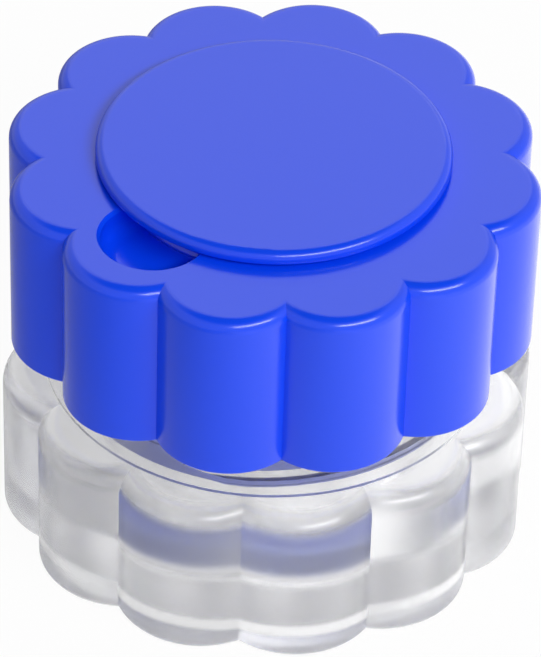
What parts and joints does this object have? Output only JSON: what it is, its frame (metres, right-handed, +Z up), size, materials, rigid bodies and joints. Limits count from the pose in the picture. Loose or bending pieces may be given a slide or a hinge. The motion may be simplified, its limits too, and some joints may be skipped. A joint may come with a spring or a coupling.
{
  "type": "pill crusher",
  "caption": "Screw-top pill crusher: clear lobed cup, blue lobed cap that drives a hollow plunger, and a pry-off disc over the pill store inside the plunger.",
  "frame": {"origin": "middle of the cup's foot, on the surface it stands on", "axes": "+Z up along the screw's axis; -Y towards the front, with the finger notch at the front left"},
  "size_m": [0.0482, 0.0482, 0.0395],
  "materials": {
    "clear_plastic": "clear polystyrene, thick-walled, moulded gloss",
    "blue_plastic": "opaque royal blue polypropylene, moulded satin gloss",
    "plunger_plastic": "opaque royal blue polypropylene, moulded satin gloss",
    "blue_lid_plastic": "opaque royal blue polypropylene, moulded satin gloss"
  },
  "bodies": {
    "base": {"base_cup": "clear_plastic"},
    "plunger": {"plunger": "plunger_plastic"},
    "cap": {"cap_shell": "blue_plastic"},
    "lid": {"store_lid": "blue_lid_plastic"}
  },
  "joints": [
    {"name": "cap_lift", "type": "slide", "parent": "base", "child": "plunger", "axis": [0, 0, 1], "range_m": [0, 0.03]},
    {"name": "cap_turn", "type": "hinge", "parent": "plunger", "child": "cap", "pos_m": [0, 0, 0.03], "axis": [0, 0, 1], "range_deg": [0, 1800]},
    {"name": "lid_lift", "type": "slide", "parent": "cap", "child": "lid", "axis": [0, 0, 1], "range_m": [0, 0.015]}
  ],
  "couplings": [
    {"joint": "cap_lift", "follows": "cap_turn", "m_per_rad": 0.00095493}
  ]
}
